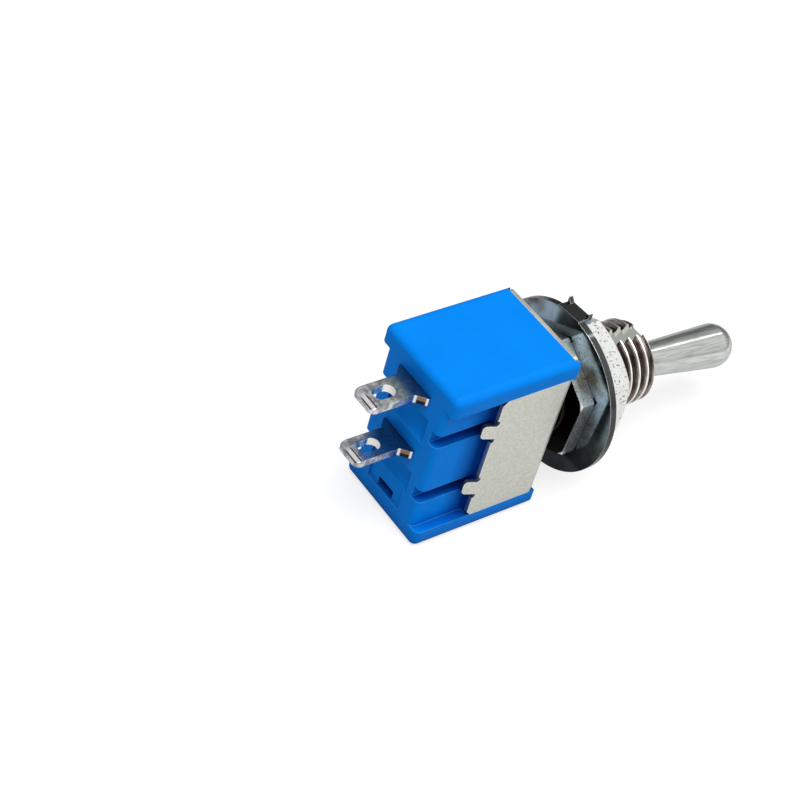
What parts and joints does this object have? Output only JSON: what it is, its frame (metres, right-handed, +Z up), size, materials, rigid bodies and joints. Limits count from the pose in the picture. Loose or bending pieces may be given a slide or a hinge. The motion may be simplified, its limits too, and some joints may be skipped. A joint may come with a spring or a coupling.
{
  "type": "toggle switch",
  "caption": "Miniature panel-mount toggle switch: blue moulded body in a folded steel frame, threaded bushing with nuts and washers, bat lever and flat solder lugs.",
  "frame": {"origin": "on the bushing's axis, at the outer face of the frame's front plate", "axes": "+X along the bushing out of the panel, +Z up, the way the lever throws, Y across the body"},
  "size_m": [0.034, 0.0122, 0.0132],
  "materials": {
    "blue_plastic": "moulded, satin",
    "tinned_steel": "satin tin plate",
    "nickel_plate": "nickel plate on brass",
    "chrome_plate": "bright chrome plate",
    "tinned_lug": "bright tin plate",
    "nut_plate": "nickel plate on brass",
    "ring_plate": "bright nickel plate",
    "nylon": "natural nylon",
    "spring_steel": "drawn wire",
    "contact_copper": "plain copper alloy",
    "silver": "silver"
  },
  "bodies": {
    "body": {"housing": "blue_plastic", "frame": "tinned_steel", "bushing": "nickel_plate", "throw_terminal": "tinned_lug", "common_terminal": "tinned_lug", "rear_nut": "nut_plate", "locking_ring": "ring_plate", "front_nut": "nut_plate", "lock_washer": "ring_plate", "rocker_saddle": "contact_copper", "throw_plate": "contact_copper", "fixed_contact": "silver"},
    "toggle": {"lever": "chrome_plate", "plunger_spring": "spring_steel"},
    "plunger_pin": {"plunger": "nylon"},
    "see_saw": {"rocker": "contact_copper", "moving_contacts": "silver"}
  },
  "joints": [
    {"name": "lever_throw", "type": "hinge", "parent": "body", "child": "toggle", "pos_m": [0.006, 0, 0], "axis": [0, -1, 0], "range_deg": [0, 17]},
    {"name": "plunger_slide", "type": "slide", "parent": "toggle", "child": "plunger_pin", "axis": [0.989, 0, -0.1478], "range_m": [0, 0.00035], "stiffness_N_per_m": 800, "deforming": ["plunger_spring"]},
    {"name": "rocker_tilt", "type": "hinge", "parent": "body", "child": "see_saw", "pos_m": [-0.00702, 0, 0], "axis": [0, 1, 0], "range_deg": [0, 17]}
  ],
  "couplings": [
    {"joint": "rocker_tilt", "follows": "lever_throw", "ratio": 1}
  ]
}
